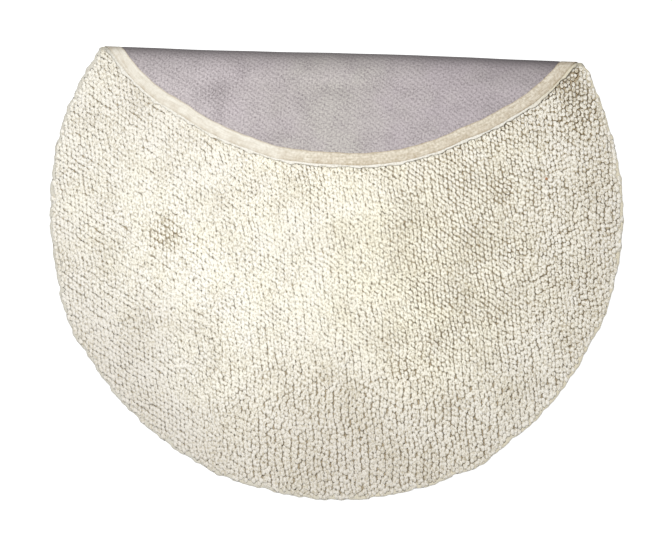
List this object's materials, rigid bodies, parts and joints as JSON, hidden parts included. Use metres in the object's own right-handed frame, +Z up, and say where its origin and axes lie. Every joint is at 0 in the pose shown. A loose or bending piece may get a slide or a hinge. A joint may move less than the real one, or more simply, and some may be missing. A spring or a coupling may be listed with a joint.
{
  "type": "round loop-pile rug with one edge folded over",
  "caption": "Round cream loop-pile rug lying flat, its far edge folded forward to show a grey canvas backing and a cream binding tape round the rim.",
  "frame": {"origin": "centre of the round, on the floor under the backing", "axes": "+X along the fold, +Y from the centre towards the fold, +Z up from the floor through the pile"},
  "size_m": [1.1991, 0.9323, 0.055],
  "materials": {
    "wool_loops": "matte looped wool pile",
    "canvas": "matte twill-woven canvas",
    "cotton_tape": "matte woven cotton tape"
  },
  "bodies": {
    "root": {"pile": "wool_loops", "backing": "canvas", "binding_tape": "cotton_tape"}
  },
  "joints": []
}
